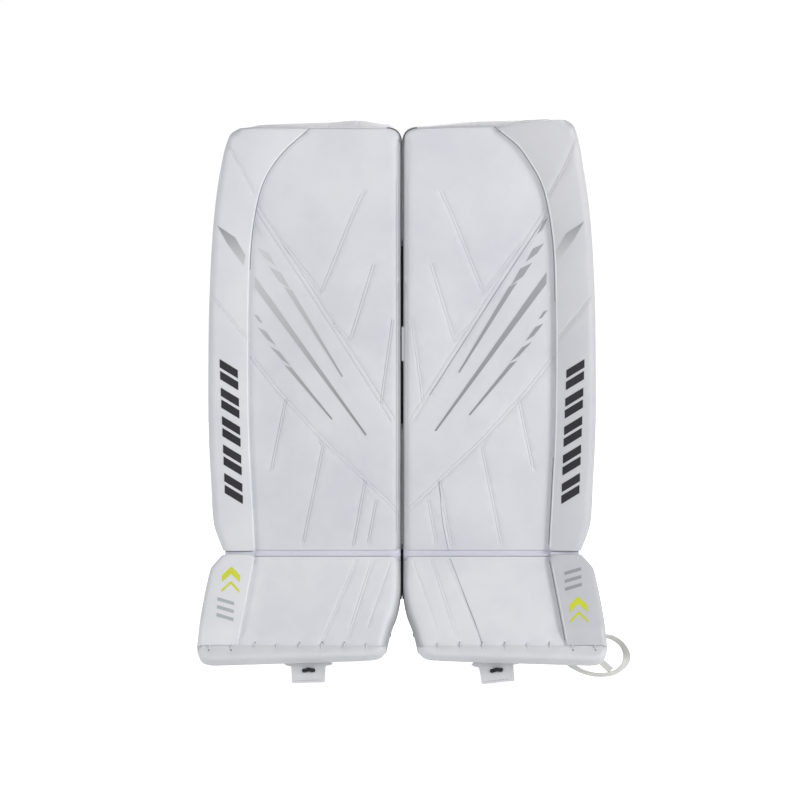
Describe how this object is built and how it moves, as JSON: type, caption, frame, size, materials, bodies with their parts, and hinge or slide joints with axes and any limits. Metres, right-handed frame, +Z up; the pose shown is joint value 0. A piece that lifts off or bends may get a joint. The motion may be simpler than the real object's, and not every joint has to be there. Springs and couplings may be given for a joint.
{
  "type": "goalie leg pads",
  "caption": "Pair of white ice hockey goalie leg pads with raised outer rolls, flexing boot and thigh sections, knee stacks, wings and elastic leg straps.",
  "frame": {"origin": "middle of the right leg's channel, where the calf holds the pad up", "axes": "+Z up along the shin, -Y the way the faces look, +X from the right pad to the left pad"},
  "size_m": [0.6184, 0.2541, 0.8062],
  "materials": {
    "white_leather": "fine-grain white synthetic leather, satin",
    "black_liner": "brushed black lining fabric",
    "black_elastic": "woven black elastic",
    "stiffener": "sheet plastic",
    "grey_webbing": "light grey woven webbing",
    "white_lace": "braided white lace",
    "black_plastic": "moulded black nylon",
    "black_cord": "braided elastic cord"
  },
  "bodies": {
    "right_shin": {"right_shin_core": "white_leather", "right_shin_board": "stiffener", "right_leg_bed": "black_liner", "right_shin_outer_roll": "white_leather", "right_calf_slide": "white_leather", "right_knee_block": "white_leather", "right_knee_block_pad": "black_liner"},
    "right_thigh": {"right_thigh_core": "white_leather", "right_thigh_board": "stiffener", "right_thigh_liner": "black_liner", "right_thigh_outer_roll": "white_leather", "right_top_binding": "white_leather"},
    "right_boot": {"right_boot_core": "white_leather", "right_boot_outer_roll": "white_leather", "right_boot_liner": "black_liner", "right_toe_roll": "white_leather", "right_toe_lacing": "white_lace", "right_boot_inner_wing": "white_leather", "right_boot_outer_wing": "white_leather", "right_boot_strap_loop": "grey_webbing"},
    "right_boot_closure": {"right_boot_strap": "grey_webbing"},
    "right_boot_slider": {"right_boot_strap_slider": "black_plastic"},
    "right_toe_tie": {"right_toe_tab": "white_leather", "right_toe_cord": "black_cord"},
    "right_inner_wing": {"right_inner_calf_wing": "white_leather"},
    "right_outer_wing": {"right_outer_calf_wing": "white_leather"},
    "right_knee_wing": {"right_outer_knee_wing": "white_leather"},
    "right_knee_closure": {"right_knee_strap": "black_elastic"},
    "right_upper_closure": {"right_upper_calf_strap": "black_elastic"},
    "right_lower_closure": {"right_lower_calf_strap": "black_elastic"},
    "left_shin": {"left_shin_core": "white_leather", "left_shin_board": "stiffener", "left_leg_bed": "black_liner", "left_shin_outer_roll": "white_leather", "left_calf_slide": "white_leather", "left_knee_block": "white_leather", "left_knee_block_pad": "black_liner"},
    "left_thigh": {"left_thigh_core": "white_leather", "left_thigh_board": "stiffener", "left_thigh_liner": "black_liner", "left_thigh_outer_roll": "white_leather", "left_top_binding": "white_leather"},
    "left_boot": {"left_boot_core": "white_leather", "left_boot_outer_roll": "white_leather", "left_boot_liner": "black_liner", "left_toe_roll": "white_leather", "left_toe_lacing": "white_lace", "left_boot_inner_wing": "white_leather", "left_boot_outer_wing": "white_leather", "left_boot_strap_loop": "grey_webbing"},
    "left_boot_closure": {"left_boot_strap": "grey_webbing"},
    "left_boot_slider": {"left_boot_strap_slider": "black_plastic"},
    "left_toe_tie": {"left_toe_tab": "white_leather", "left_toe_cord": "black_cord"},
    "left_inner_wing": {"left_inner_calf_wing": "white_leather"},
    "left_outer_wing": {"left_outer_calf_wing": "white_leather"},
    "left_knee_wing": {"left_outer_knee_wing": "white_leather"},
    "left_knee_closure": {"left_knee_strap": "black_elastic"},
    "left_upper_closure": {"left_upper_calf_strap": "black_elastic"},
    "left_lower_closure": {"left_lower_calf_strap": "black_elastic"}
  },
  "joints": [
    {"name": "right_thigh_flex", "type": "hinge", "parent": "right_shin", "child": "right_thigh", "pos_m": [0.0015, -0.1, 0.22], "axis": [1, 0, 0], "range_deg": [-6, 12], "stiffness_Nm_per_rad": 12},
    {"name": "right_boot_flex", "type": "hinge", "parent": "right_shin", "child": "right_boot", "pos_m": [0.0015, -0.1, -0.16], "axis": [1, 0, 0], "range_deg": [-8, 15], "stiffness_Nm_per_rad": 12},
    {"name": "right_toe_tab_swing", "type": "hinge", "parent": "right_boot", "child": "right_toe_tie", "pos_m": [0.009, -0.134, -0.304], "axis": [1, 0, 0], "range_deg": [-20, 75]},
    {"name": "right_inner_wing_open", "type": "hinge", "parent": "right_shin", "child": "right_inner_wing", "pos_m": [0.102, -0.0525, -0.013], "axis": [0, 0, -1], "range_deg": [-10, 18]},
    {"name": "right_outer_wing_open", "type": "hinge", "parent": "right_shin", "child": "right_outer_wing", "pos_m": [-0.094, -0.0525, -0.013], "axis": [0, 0, 1], "range_deg": [0, 50]},
    {"name": "right_knee_wing_open", "type": "hinge", "parent": "right_shin", "child": "right_knee_wing", "pos_m": [-0.094, -0.0525, 0.167], "axis": [0, 0, 1], "range_deg": [0, 50]},
    {"name": "right_knee_strap_open", "type": "hinge", "parent": "right_knee_wing", "child": "right_knee_closure", "pos_m": [-0.095, 0.0515, 0.168], "axis": [0, 0, 1], "range_deg": [0, 100]},
    {"name": "right_upper_strap_open", "type": "hinge", "parent": "right_outer_wing", "child": "right_upper_closure", "pos_m": [-0.095, 0.0515, 0.046], "axis": [0, 0, 1], "range_deg": [0, 100]},
    {"name": "right_lower_strap_open", "type": "hinge", "parent": "right_outer_wing", "child": "right_lower_closure", "pos_m": [-0.095, 0.0515, -0.064], "axis": [0, 0, 1], "range_deg": [0, 100]},
    {"name": "right_boot_strap_open", "type": "hinge", "parent": "right_boot", "child": "right_boot_closure", "pos_m": [-0.099, -0.03265, -0.27509], "axis": [0, 0.4695, 0.8829], "range_deg": [0, 90]},
    {"name": "right_boot_slider_adjust", "type": "slide", "parent": "right_boot_closure", "child": "right_boot_slider", "axis": [1, 0, 0], "range_m": [-0.012, 0.012]},
    {"name": "pad_spread", "type": "slide", "parent": "right_shin", "child": "left_shin", "axis": [1, 0, 0], "range_m": [0, 0.4]},
    {"name": "left_thigh_flex", "type": "hinge", "parent": "left_shin", "child": "left_thigh", "pos_m": [0.2835, -0.1, 0.22], "axis": [1, 0, 0], "range_deg": [-6, 12], "stiffness_Nm_per_rad": 12},
    {"name": "left_boot_flex", "type": "hinge", "parent": "left_shin", "child": "left_boot", "pos_m": [0.2835, -0.1, -0.16], "axis": [1, 0, 0], "range_deg": [-8, 15], "stiffness_Nm_per_rad": 12},
    {"name": "left_toe_tab_swing", "type": "hinge", "parent": "left_boot", "child": "left_toe_tie", "pos_m": [0.276, -0.134, -0.304], "axis": [1, 0, 0], "range_deg": [-20, 75]},
    {"name": "left_inner_wing_open", "type": "hinge", "parent": "left_shin", "child": "left_inner_wing", "pos_m": [0.183, -0.0525, -0.013], "axis": [0, 0, 1], "range_deg": [-10, 18]},
    {"name": "left_outer_wing_open", "type": "hinge", "parent": "left_shin", "child": "left_outer_wing", "pos_m": [0.379, -0.0525, -0.013], "axis": [0, 0, -1], "range_deg": [0, 50]},
    {"name": "left_knee_wing_open", "type": "hinge", "parent": "left_shin", "child": "left_knee_wing", "pos_m": [0.379, -0.0525, 0.167], "axis": [0, 0, -1], "range_deg": [0, 50]},
    {"name": "left_knee_strap_open", "type": "hinge", "parent": "left_knee_wing", "child": "left_knee_closure", "pos_m": [0.38, 0.0515, 0.168], "axis": [0, 0, -1], "range_deg": [0, 100]},
    {"name": "left_upper_strap_open", "type": "hinge", "parent": "left_outer_wing", "child": "left_upper_closure", "pos_m": [0.38, 0.0515, 0.046], "axis": [0, 0, -1], "range_deg": [0, 100]},
    {"name": "left_lower_strap_open", "type": "hinge", "parent": "left_outer_wing", "child": "left_lower_closure", "pos_m": [0.38, 0.0515, -0.064], "axis": [0, 0, -1], "range_deg": [0, 100]},
    {"name": "left_boot_strap_open", "type": "hinge", "parent": "left_boot", "child": "left_boot_closure", "pos_m": [0.384, -0.03265, -0.27509], "axis": [0, -0.4695, -0.8829], "range_deg": [0, 90]},
    {"name": "left_boot_slider_adjust", "type": "slide", "parent": "left_boot_closure", "child": "left_boot_slider", "axis": [1, 0, 0], "range_m": [-0.012, 0.012]}
  ]
}
